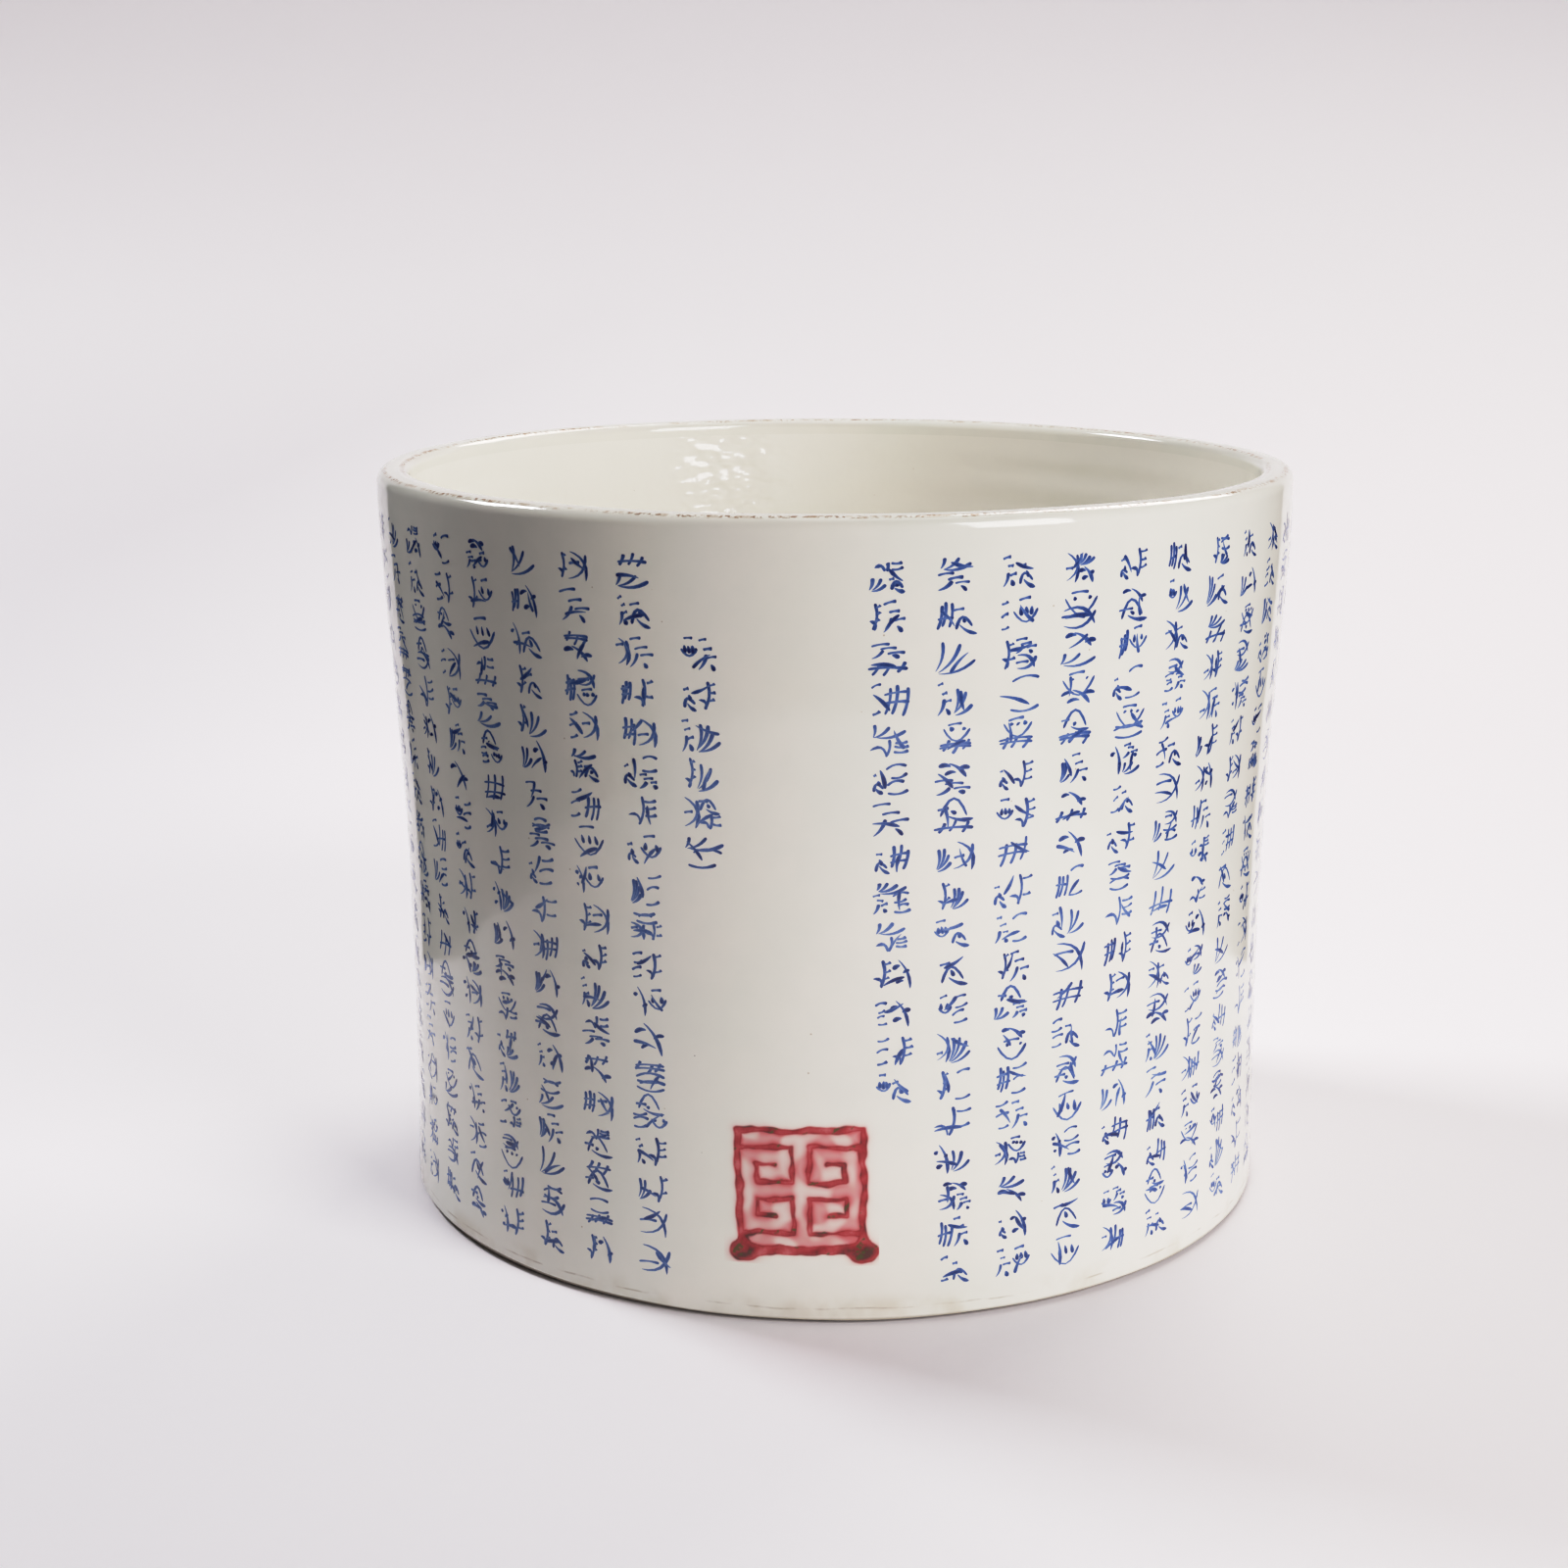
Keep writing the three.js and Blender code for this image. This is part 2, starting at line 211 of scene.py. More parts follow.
class Paint:
    """One material round a Principled shader, whose even values are set on its own sockets.

    Its place is the point on the piece, in millimetres."""

    def __init__(self, name, **even):
        self.material = bpy.data.materials.new(name)
        self.material.use_nodes = True
        self.tree = self.material.node_tree
        self.shader = self.tree.nodes["Principled BSDF"]
        for socket, value in even.items():
            self.shader.inputs[socket.replace("_", " ")].default_value = value
        here = self.node("ShaderNodeTexCoord", {}, {}, out="Object")
        self.place = self.node("ShaderNodeVectorMath", {"operation": "SCALE"}, {0: here, "Scale": 1 / mm})

    def feed(self, socket, value):
        """Links a wire to a socket, or sets a plain value on it."""
        if isinstance(value, Wire):
            self.tree.links.new(value.socket, socket)
        else:
            socket.default_value = value

    def node(self, kind, settings, sockets, out=0):
        """Adds a node, makes its settings first, then feeds its sockets, and returns one of its outputs."""
        node = self.tree.nodes.new(kind)
        for name, value in settings.items():
            setattr(node, name, value)
        for name, value in sockets.items():
            self.feed(node.inputs[name], value)
        return Wire(self, node.outputs[out])

    def math(self, operation, *values):
        """The result of a Math node on wires and numbers."""
        return self.node("ShaderNodeMath", {"operation": operation}, dict(enumerate(values)))

    def radius(self):
        """How far the place lies from the axis."""
        flat = self.node("ShaderNodeVectorMath", {"operation": "MULTIPLY"}, {0: self.place, 1: (1, 1, 0)})
        return self.node("ShaderNodeVectorMath", {"operation": "LENGTH"}, {0: flat}, out="Value")

    def coordinates(self):
        """The x, y and z of the place."""
        first = self.node("ShaderNodeSeparateXYZ", {}, {"Vector": self.place})
        return [Wire(self, output) for output in first.socket.node.outputs]

    def field(self, name):
        """A value that the mesh carries at its points."""
        return self.node("ShaderNodeAttribute", {"attribute_name": name}, {}, out="Fac")

    def noise(self, size, detail=2.0, stretch=(1, 1, 1)):
        """Cloudy noise from 0 to 1, with lumps of about the given size in millimetres."""
        scaled = {"Vector": self.place, "Scale": [s / size for s in stretch]}
        drawn = self.node("ShaderNodeMapping", {}, scaled)
        return self.node("ShaderNodeTexNoise", {}, {"Vector": drawn, "Scale": 1.0, "Detail": detail})

    def ramp(self, value, low, high):
        """Rises smoothly from 0 where the value is low to 1 where it is high."""
        settings = {"interpolation_type": "SMOOTHSTEP"}
        return self.node("ShaderNodeMapRange", settings, {"Value": value, "From Min": low, "From Max": high})

    def specks(self, spacing, radius):
        """1 inside small round specks, scattered through space about one spacing apart, and 0 elsewhere."""
        scattered = {"Vector": self.place, "Scale": 1 / spacing}
        away = self.node("ShaderNodeTexVoronoi", {}, scattered, out="Distance")
        return 1 - self.ramp(away, 0.6 * radius / spacing, radius / spacing)

    def mix(self, share, first, second):
        """The second colour laid over the first by a share from 0 to 1."""
        first, second = ((*c, 1) if isinstance(c, tuple) else c for c in (first, second))
        return self.node("ShaderNodeMix", {"data_type": "RGBA"}, {0: share, 6: first, 7: second}, out=2)

    def shades(self, value, *stops):
        """A colour read from stops of (place, colour) along a scale from 0 to 1."""
        wire = self.node("ShaderNodeValToRGB", {}, {0: value})
        elements = wire.socket.node.color_ramp.elements
        while len(elements) < len(stops):
            elements.new(0.5)
        for element, (place, colour) in zip(elements, stops):
            element.position, element.color = place, (*colour, 1)
        return wire

    def bump(self, relief, depth):
        """Feeds the Normal with a relief whose range from 0 to 1 is a depth in millimetres."""
        sockets = {"Height": relief, "Distance": depth * mm}
        self.feed(self.shader.inputs["Normal"], self.node("ShaderNodeBump", {}, sockets))

    def finish(self, colour):
        """Feeds the Base Color and returns the material."""
        self.feed(self.shader.inputs["Base Color"], colour)
        return self.material


def clay_colour(paint, dirt):
    """Fired clay: chalky, buff where the kiln scorched it, with iron specks and a share of dirt."""
    scorch = paint.ramp(paint.noise(14, 4), 0.35, 0.7)
    colour = paint.mix(scorch, (0.52, 0.42, 0.30), (0.66, 0.60, 0.50))
    colour = paint.mix(dirt, colour, (0.30, 0.21, 0.14))
    return paint.mix(paint.specks(5.0, 0.35) * 0.8, colour, (0.10, 0.06, 0.04))


def biscuit_clay():
    """The clay under the glaze, with fine grit and dirt between its grains."""
    paint = Paint("biscuit_clay", Roughness=0.8)
    grit = paint.noise(0.5, 3)
    colour = clay_colour(paint, paint.ramp(grit, 0.55, 0.8) * 0.35)
    paint.bump(grit, 0.05)
    return paint.finish(colour)


def settle(piece, material, slot, *nodes):
    """Gives a piece its finish, seats it on the pot and hides the CAD solids it stands for."""
    piece.data.materials.append(material)
    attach(piece, "root")
    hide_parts(*nodes)


clay = biscuit_clay()
wall_outline = np.concatenate([
    on_face(outside_radius, evenly(slab_high, outer_spring, coarse)[:-1], -glaze),
    over_the_lip(glaze),
    on_face(inside_radius, evenly(inner_spring, slab_high, coarse)[1:], glaze),
])
settle(turned("thrown_wall", wall_outline, coarse_turn), clay, "biscuit_clay", "body_wall")

# ---- The base disc ----
# A flat disc of the same clay closes the bottom. The wall is luted on to it, and its rim runs out flush with
# the outside of the wall.

disc_rim = on_face(outside_radius, evenly(slab_low, slab_high, coarse), -glaze)
disc_outline = np.concatenate([[[0, slab_low]], disc_rim, [[0, slab_high]]])
settle(turned("base_disc", disc_outline, coarse_turn), clay, "biscuit_clay", "base_slab")

# ---- The coil in the corner ----
# A coil of soft clay is worked into the corner between the wall and the disc with a thumb, and ties them
# together before firing.

coil_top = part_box("corner_coil")[1][2] / mm
coil_size = coil_top - slab_high


def round_the_corner(depth):
    """From the wall to the floor on a hollow quarter round, sunk by a depth into the finished surface."""
    centre = (inside_radius(coil_top) + glaze - coil_size, coil_top)
    return bend(centre, coil_size - glaze + depth, 0, -90)


against_the_wall = on_face(inside_radius, evenly(slab_high, coil_top, coarse)[:-1], glaze)
coil_outline = np.concatenate([against_the_wall, round_the_corner(glaze)])
settle(turned("corner_clay", coil_outline, coarse_turn), clay, "biscuit_clay", "corner_coil")

# ---- The foot ring ----
# A broad ring turned on the underside, on which the pot stands. It is wiped clean of glaze, so the bare clay
# shows, and its edges are trimmed: a narrow bevel outside and a softened arris round the recess.

foot_edge = outside_radius(slab_low) - glaze
recess_radius = 33.0
undercut, bevel_rise = 1.3, 0.9
arris = 0.3


def scorched_clay():
    """The bare clay, darkened in the bevel under its outer edge as painted shade, and burnt orange brown just
    inside it.
    """
    paint = Paint("scorched_clay", Roughness=0.8)
    past_flat = paint.radius() - (foot_edge - undercut)
    scorch = paint.ramp(past_flat + 4 * paint.noise(6, 3), -5, 1)
    colour = paint.mix(scorch * 0.5, clay_colour(paint, 0.0), (0.40, 0.22, 0.11))
    # Painted shade: the bevel under the outer edge is darkened where the foot meets the floor.
    painted_shade = paint.ramp(past_flat, -0.6, 0.2)
    colour = paint.mix(painted_shade * 0.9, colour, (0.34, 0.30, 0.25))
    paint.bump(paint.noise(0.5, 3), 0.05)
    return paint.finish(colour)


flat_foot = evenly(recess_radius + arris, foot_edge - undercut, fine)
foot_outline = np.concatenate([
    [[recess_radius, slab_low]],
    bend((recess_radius + arris, arris), arris, 180, 270, 4)[:-1],
    np.stack([flat_foot, 0 * flat_foot], axis=-1),
    [[foot_edge - 0.08, bevel_rise], [foot_edge, slab_low]],
])
settle(turned("bare_foot", foot_outline), scorched_clay(), "biscuit_clay", "foot_ring")

# ---- The glaze outside ----
# A clear feldspar glaze, dipped on and fired with the clay, milky and a little green where it lies thick. It
# has run down to a rolled edge over the bevel of the foot, and kiln grit has left a thin brown line above.

coat = 0.35
rolled_edge = 0.3
outer_seam = outer_spring - 1.5
inner_seam = inner_spring - 1.5
run_down, bare_patch = 1.25, 0.8
patch_angle, patch_tightness = -0.84, 11
fade_height = 6.0
line_height, line_reach = 3.2, 0.3


def glaze_colour(paint):
    """The colour of the glaze: clouds of greyish green and cream, iron specks and a few dark pinholes."""
    clouds = paint.ramp(paint.noise(26, 3), 0.3, 0.7)
    colour = paint.mix(clouds, (0.80, 0.80, 0.725), (0.84, 0.82, 0.745))
    veil = paint.ramp(paint.noise(5, 3), 0.35, 0.75)
    colour = paint.mix(veil * 0.25, colour, (0.775, 0.775, 0.71))
    iron = paint.specks(7.5, 0.22)
    colour = paint.mix(iron * 0.55, colour, (0.36, 0.27, 0.17))
    pinholes = paint.specks(9.7, 0.13)
    return paint.mix(pinholes * 0.9, colour, (0.05, 0.035, 0.02))


def glaze_relief(paint):
    """The faint dimpling of a fired glaze."""
    paint.bump(paint.noise(4.5, 2), 0.02)


glaze_gloss = {"Roughness": 0.09, "IOR": 1.5}


def outside_glaze():
    """The glaze with a broken brown line a little above the foot, and painted shade darkening its lowest edge
    next to the floor.
    """
    paint = Paint("outside_glaze", **glaze_gloss)
    z = paint.coordinates()[2]
    colour = glaze_colour(paint)
    wander = z + 1.6 * paint.noise(16, 2) - 0.8
    broken = paint.ramp(paint.noise(7, 5, stretch=(1, 1, 2.5)), 0.44, 0.62)
    above = paint.ramp(wander, line_height - line_reach, line_height)
    line = above * (1 - paint.ramp(wander, line_height, line_height + line_reach)) * broken
    colour = paint.mix(line * 0.42, colour, (0.24, 0.18, 0.11))
    # Painted shade: the lowest edge of the glaze, next to the floor, is darkened.
    painted_shade = (1 - paint.ramp(z, 0.8, 1.5)) * 0.6
    colour = paint.mix(painted_shade, colour, (0.23, 0.18, 0.12))
    low_stain = (1 - paint.ramp(z, 3.0, 7.0)) * paint.ramp(paint.noise(9, 3), 0.42, 0.7) * 0.35
    colour = paint.mix(low_stain, colour, (0.50, 0.44, 0.33))
    glaze_relief(paint)
    return paint.finish(colour)


def run_of_glaze(angle, z):
    """How far the glaze runs down over the foot: evenly but for ripples, and less in one patch on the left.

    The patch is a bell round its angle, and the run fades out a little way up the wall."""
    patch = np.exp(patch_tightness * (np.cos(angle - patch_angle) - 1))
    run = run_down - bare_patch * patch + 0.08 * np.sin(7 * angle + 1) + 0.05 * np.sin(17 * angle)
    fade = np.clip((z - slab_low) / fade_height, 0, 1)
    return run * (1 - fade) ** 2


face = on_face(outside_radius, evenly(slab_low + rolled_edge, outer_seam, fine))
back = on_face(outside_radius, evenly(outer_seam, slab_low, coarse), -coat)
edge = bend((outside_radius(slab_low) - rolled_edge, slab_low + rolled_edge), rolled_edge, -90, 0, 5)[:-1]
outside_outline = np.concatenate([edge, face, back])
outside_coat = turned("outside_coat", outside_outline, sag=run_of_glaze)
settle(outside_coat, outside_glaze(), "clear_glaze", "outer_glaze")

# ---- The glaze on the lip ----
# The same glaze, which runs thin over the two edges of the flat lip as it melts. Wear there has let brown
# earth into the pores, in a broken line of specks along each edge.

lip_middle = (outside_radius(outer_spring) + inside_radius(inner_spring)) / 2
worn_edges = lip_middle - 1.9, lip_middle + 1.7
skirt_step = 0.5


def lip_glaze():
    """The glaze with brown specks gathered along both edges of the lip, in stretches."""
    paint = Paint("lip_glaze", **glaze_gloss)
    radius, z = paint.radius(), paint.coordinates()[2]
    colour = glaze_colour(paint)
    stretches = paint.ramp(paint.noise(24, 2), 0.34, 0.54)
    grains = paint.ramp(paint.noise(0.9, 4), 0.48, 0.6)
    crumbs = paint.ramp(paint.noise(2.6, 3), 0.5, 0.6)
    on_top = paint.ramp(z, height - 0.9, height - 0.2)
    for edge_radius in worn_edges:
        off = radius + 0.9 * paint.noise(7, 2) - (edge_radius + 0.45)
        band = 1 - paint.ramp(paint.math("ABSOLUTE", off), 0.15, 0.75)
        colour = paint.mix(band * stretches * grains * on_top * 0.9, colour, (0.27, 0.17, 0.10))
        colour = paint.mix(band * crumbs * on_top * 0.55, colour, (0.42, 0.30, 0.20))
    glaze_relief(paint)
    return paint.finish(colour)


outer_skirt = evenly(outer_seam, outer_spring, skirt_step)
inner_skirt = evenly(inner_spring, inner_seam, skirt_step)
lip_outline = np.concatenate([
    on_face(outside_radius, outer_skirt[:-1]),
    over_the_lip(0),
    on_face(inside_radius, inner_skirt[1:]),
    on_face(inside_radius, inner_skirt[:0:-1], coat),
    over_the_lip(coat)[::-1],
    on_face(outside_radius, outer_skirt[-2::-1], -coat),
])
settle(turned("lip_coat", lip_outline), lip_glaze(), "clear_glaze", "lip_glaze")

# ---- The lining ----
# The glaze poured round inside. It covers the finger rings of the wall, pools in the corner and lies flat on
# the floor, with the dust and ink specks of use.

lining_step = 0.8


def lining_glaze():
    """The glaze, painted whiter inside than out as painted light that brightens the inside, with clouds of
    dust and a few ink specks low down.
    """
    paint = Paint("lining_glaze", **glaze_gloss)
    x, y, z = paint.coordinates()
    # Painted light: the same glaze is made whiter here than outside, to brighten the inside.
    colour = paint.mix(0.6, glaze_colour(paint), (0.89, 0.87, 0.80))
    low = 1 - paint.ramp(z, floor_top, floor_top + 9)
    dust = low * paint.ramp(paint.noise(8, 4), 0.35, 0.75) * 0.4
    colour = paint.mix(dust, colour, (0.45, 0.41, 0.33))
    colour = paint.mix(paint.specks(4.3, 0.2) * low * 0.8, colour, (0.10, 0.08, 0.07))
    # In one patch across from the panel, just under the lip, the glaze set in ripples.
    off = paint.math("ABSOLUTE", x + 25)
    patch = (1 - paint.ramp(off, 6, 17)) * paint.ramp(y, 0, 40) * paint.ramp(z, height - 36, height - 14)
    ripples = paint.noise(3.2, 1, stretch=(0.6, 0.6, 1.2)) * patch
    paint.bump(0.1 * paint.noise(4.5, 2) + ripples, 0.75)
    return paint.finish(colour)


def lining_line(depth, step):
    """The lining from the inner seam down the wall, round the corner and in to the middle of the floor."""
    wall = on_face(inside_radius, evenly(inner_seam, coil_top, step)[:-1], depth)
    corner = round_the_corner(depth)
    across = evenly(corner[-1][0], 0, 4 * step)[1:]
    floor = np.stack([across, np.full(len(across), corner[-1][1])], axis=-1)
    return np.concatenate([wall, corner, floor])


lining_outline = np.concatenate([lining_line(coat, coarse)[::-1], lining_line(0, lining_step)])
settle(turned("lining_coat", lining_outline), lining_glaze(), "clear_glaze", "lining_glaze")

# ---- The glaze in the recess ----
# A pool of creamy glaze fills the recess inside the foot ring. Sand from the kiln floor has left black and
# brown pits in it, and its rim draws back from the bare ring.

recess_face = slab_low - glaze


def recess_glaze():
    """Creamier glaze with more pits than elsewhere, browner towards the ring."""
    paint = Paint("recess_glaze", **glaze_gloss)
    colour = paint.mix(0.5, glaze_colour(paint), (0.84, 0.79, 0.67))
    colour = paint.mix(paint.specks(2.9, 0.16) * 0.8, colour, (0.12, 0.08, 0.05))
    past_pool = paint.radius() - recess_radius
    rim = paint.ramp(past_pool + 2.5 * paint.noise(5, 3), -1.2, 0.9)
    colour = paint.mix(rim * 0.7, colour, (0.30, 0.20, 0.12))
    glaze_relief(paint)
    return paint.finish(colour)


pool = evenly(0, recess_radius - 0.7, 1.0)
recess_outline = np.concatenate([
    np.stack([pool, recess_face + 0.12 * (pool / recess_radius) ** 6], axis=-1),
    [[recess_radius - 0.3, recess_face + 0.2], [recess_radius - 0.1, slab_low - 0.05], [0, slab_low - 0.05]],
])
settle(turned("recess_coat", recess_outline), recess_glaze(), "clear_glaze", "recess_glaze")

# ---- The columns of brushwork ----
# Rows of small brush marks in cobalt blue, painted on the raw clay with a fine wet brush and seen through the
# glaze. The marks are invented, each put together from a few made-up figures, and none of them is writing.

places = 49
bare_places = 2
column_pitch = np.radians(360 / places)
panel_angle = np.radians(-4)
mark_pitch = 7.42
mark_size = (7.2, 5.9)
column_top = height - 6.5
title_top = height - 21
full_column, title_column, closing_column = 19, 6, 14

across, down, left_sweep, right_sweep, dot, hook = range(6)
# Half-widths in millimetres of the six strokes at five even places from the start to the end.
stroke_widths = np.array([
    [0.23, 0.18, 0.17, 0.21, 0.34],
    [0.33, 0.26, 0.23, 0.24, 0.26],
    [0.33, 0.29, 0.24, 0.17, 0.08],
    [0.12, 0.18, 0.27, 0.37, 0.15],
    [0.12, 0.25, 0.34, 0.36, 0.22],
    [0.23, 0.22, 0.23, 0.32, 0.09],
])
# How dark each stroke is drawn at the same five places, as the pigment pools.
stroke_inks = np.array([
    [0.60, 0.42, 0.40, 0.52, 0.85],
    [0.85, 0.62, 0.55, 0.60, 0.72],
    [0.80, 0.65, 0.52, 0.42, 0.35],
    [0.40, 0.48, 0.62, 0.85, 0.60],
    [0.45, 0.65, 0.85, 0.90, 0.75],
    [0.65, 0.55, 0.55, 0.80, 0.50],
])
stations = np.array([0, 0.035, 0.14, 0.32, 0.5, 0.68, 0.86, 0.965, 1])
rounded_ends = np.array([0.3, 0.78, 1, 1, 1, 1, 1, 0.78, 0.3])
# The crown of a stroke stands over its two edges, which carry less pigment.
crown_rise = 0.008
ink_across = np.array([0.62, 1, 0.62])


# Each figure is drawn in a box one wide and one high, as rows of (kind, x and y of the start, x and y of the
# end, bow). The bow is to the left of the way, as twice a share of the length.
def twig(dice):
    """A long bowed stem with two or three leaves on alternate sides."""
    y = np.linspace(0.78, 0.3, dice.integers(2, 4))
    side = np.where(np.arange(len(y)) % 2, 1, -1)
    root = 0.62 - 0.35 * (y - 0.3)
    leaves = np.stack([y * 0 + dot, root + 0.06 * side, y, root + 0.4 * side, y + 0.1 * side, 0.3 * side], -1)
    return np.concatenate([[[right_sweep, 0.34, 1.0, 0.86, 0.0, 0.22]], leaves])


def wave(dice):
    """Two to four slack bars one over another, which bow up and down by turns."""
    count = dice.integers(2, 5)
    y = np.linspace(0.12, 0.9, count)
    inset = dice.uniform(0, 0.25, count)
    bow = np.where(np.arange(count) % 2, 0.34, -0.3) * dice.uniform(0.5, 1, count)
    return np.stack([y * 0 + across, inset, y - 0.05, 1 - inset[::-1], y + 0.06, bow], axis=-1)


def bowl(dice):
    """A round-bottomed bowl with two or three seeds in it, and a short rim."""
    x = np.linspace(0.28, 0.74, dice.integers(2, 4))
    seeds = np.stack([x * 0 + dot, x, x * 0 + 0.74, x + 0.05, x * 0 + 0.5, x * 0], axis=-1)
    body, rim = [across, 0.02, 0.62, 1.0, 0.66, -0.95], [across, 0.2, 0.92, 0.72, 0.98, 0.1]
    return np.concatenate([[body, rim], seeds])


def fan(dice):
    """Three or four strokes of unequal length that spread from one low corner."""
    angle = np.radians(np.linspace(18, 82, dice.integers(3, 5)) + dice.uniform(-6, 6))
    reach = np.linspace(0.98, 0.74, len(angle))
    tip_x, tip_y = 0.06 + reach * np.cos(angle), 0.06 + reach * np.sin(angle)
    sweep_bow = angle * 0 + 0.22
    return np.stack([angle * 0 + left_sweep, tip_x, tip_y, tip_x * 0.1, tip_y * 0.1, sweep_bow], axis=-1)


def ribbon(dice):
    """Two bowed strokes that cross twice like a ribbon, tied by a short bar."""
    height_of_tie = dice.uniform(0.3, 0.7)
    return np.array([
        [right_sweep, 0.1, 0.98, 0.9, 0.02, 0.5], [left_sweep, 0.94, 0.9, 0.06, 0.08, 0.46],
        [across, 0.02, height_of_tie, 0.62, height_of_tie + 0.06, 0.1],
    ])


def fence(dice):
    """Three leaning posts of unequal height that bow one way, struck through by one or two bars."""
    x = np.array([0.16, 0.48, 0.82]) + dice.uniform(-0.05, 0.05, 3)
    top = dice.uniform(0.72, 1.0, 3)
    posts = np.stack([x * 0 + down, x + 0.08, top, x - 0.1, top - 0.72, x * 0 + 0.14], axis=-1)
    rails = [[across, 0.0, y, 0.98, y + 0.08, 0.08] for y in (0.38, 0.62)[:dice.integers(1, 3)]]
    return np.concatenate([posts, rails])


def arch(dice):
    """A tall round arch over a seed and a sweep that leaves it to the right."""
    return np.array([
        [down, 0.1, 0.1, 0.84, 0.2, 1.35], [dot, 0.4, 0.5, 0.52, 0.3, 0.1],
        [right_sweep, 0.3, 0.24, 1.0, 0.0, -0.2], [across, 0.0, 0.66, dice.uniform(0.3, 0.5), 0.72, 0.05],
    ])


def crook(dice):
    """A cane with a rolled foot, and ticks beside it."""
    y = np.linspace(0.86, 0.36, dice.integers(2, 4))
    ticks = np.stack([y * 0 + across, y * 0 + 0.62, y, y * 0 + 0.98, y + 0.07, y * 0 - 0.2], axis=-1)
    cane = [[down, 0.5, 1.0, 0.42, 0.06, 0.24], [hook, 0.42, 0.06, 0.04, 0.36, -0.75]]
    return np.concatenate([cane, ticks])


def steps(dice):
    """Short bars that step down to the right, with a sweep and a dot under them."""
    x = np.array([0.0, 0.24, 0.46])
    y = np.array([0.88, 0.62, 0.38])
    bars = np.stack([x * 0 + across, x, y, x + dice.uniform(0.4, 0.54), y + 0.06, x * 0 + 0.12], axis=-1)
    under = [[left_sweep, 0.36, 0.48, 0.02, 0.02, 0.2], [dot, 0.6, 0.2, 0.78, 0.02, 0.2]]
    return np.concatenate([bars, under])


figures = [twig, wave, bowl, fan, ribbon, fence, arch, crook, steps]
# How figures share a mark: boxes of (left, bottom, width, height) in a square one wide and one high.
layouts = [
    [(0, 0, 0.42, 1), (0.46, 0, 0.54, 1)], [(0, 0.04, 0.3, 0.9), (0.36, 0, 0.64, 1)],
    [(0.06, 0.54, 0.88, 0.46), (0, 0, 1, 0.48)],
    [(0, 0, 0.36, 0.96), (0.42, 0.52, 0.56, 0.48), (0.42, 0, 0.58, 0.46)],
    [(0.1, 0.66, 0.8, 0.34), (0, 0, 0.46, 0.6), (0.52, 0, 0.48, 0.6)], [(0.06, 0.02, 0.88, 0.96)],
]
layout_odds = [0.26, 0.21, 0.22, 0.09, 0.05, 0.17]


def fitted(rows):
    """The rows stretched so that the starts, ends and tops of the bows just fill the square."""
    start, end = rows[:, 1:3], rows[:, 3:5]
    chord = end - start
    crest = (start + end) / 2 + rows[:, 5:] / 2 * np.stack([-chord[:, 1], chord[:, 0]], axis=-1)
    reach = np.concatenate([start, end, crest])
    low, span = reach.min(0), np.ptp(reach, axis=0)
    rows[:, 1:5] = (rows[:, 1:5] - np.tile(low, 2)) / np.tile(span, 2)
    return rows


def brush_mark(dice):
    """One invented mark: figures set into a layout's boxes, and one stray stroke in from the edge."""
    layout = layouts[dice.choice(len(layouts), p=layout_odds)]
    chosen = dice.choice(len(figures), size=len(layout), replace=False)
    rows = []
    for (left, bottom, width, tall), figure in zip(layout, chosen):
        part = np.array(figures[figure](dice), float)
        part[:, [1, 3]] = left + width * part[:, [1, 3]]
        part[:, [2, 4]] = bottom + tall * part[:, [2, 4]]
        rows.append(part)
    angle = dice.uniform(0, 2 * np.pi)
    start = 0.5 + 0.46 * np.array([np.cos(angle), np.sin(angle)])
    stop = 0.5 + 0.3 * np.array([np.cos(angle + 1.9), np.sin(angle + 1.9)])
    rows.append([[dice.choice([left_sweep, right_sweep, dot]), *start, *stop, 0.12]])
    return fitted(np.concatenate(rows))


def lay_strokes(name, kinds, starts, ends, bows, breadth, wetness, lifts, surface):
    """Strokes laid on a surface as thin lens-shaped bodies with three corners: left edge, crown, right edge.

    Each follows a parabola from its start to its end that bows to the left. The surface turns (x, y, lift)
    into a point."""
    t = stations[None, :, None]
    chord = (ends - starts)[:, None, :]
    to_left = np.stack([-chord[..., 1], chord[..., 0]], axis=-1)
    line = starts[:, None, :] + t * chord + 4 * t * (1 - t) * bows[:, None, None] / 2 * to_left
    way = chord + 4 * (1 - 2 * t) * bows[:, None, None] / 2 * to_left
    way = way / np.linalg.norm(way, axis=-1, keepdims=True)
    key_places = np.linspace(0, 1, stroke_widths.shape[1])
    widths = np.array([np.interp(stations, key_places, row) for row in stroke_widths])[kinds]
    inks = np.array([np.interp(stations, key_places, row) for row in stroke_inks])[kinds]
    half = widths * rounded_ends * breadth[:, None]
    sideways = np.stack([-way[..., 1], way[..., 0]], axis=-1) * half[..., None]
    flat = np.stack([line + sideways, line, line - sideways], axis=2)
    lift = lifts[:, None, None] + np.array([0, crown_rise, 0])
    points = surface(flat[..., 0], flat[..., 1], np.broadcast_to(lift, flat.shape[:3])).reshape(-1, 3)
    ink = inks[..., None] * wetness[:, None, None] * ink_across
    tube = grid_faces(len(stations), 3, closed_columns=True)
    per_stroke = 3 * len(stations)
    offset = np.arange(len(kinds))[:, None, None] * per_stroke
    caps = np.array([[2, 1, 0], [per_stroke - 3, per_stroke - 2, per_stroke - 1]])
    return put_mesh(name, points, (tube + offset).reshape(-1, 4), (caps + offset).reshape(-1, 3), ink=ink)


def on_wall(angle, z, lift):
    """The point on the outside of the thrown wall at an angle and a height, raised by a lift."""
    outward, upward = throwing(angle, outside_radius(z), z)
    r = outside_radius(z) + outward + lift
    return np.stack([r * np.sin(angle), -r * np.cos(angle), z + upward], axis=-1)


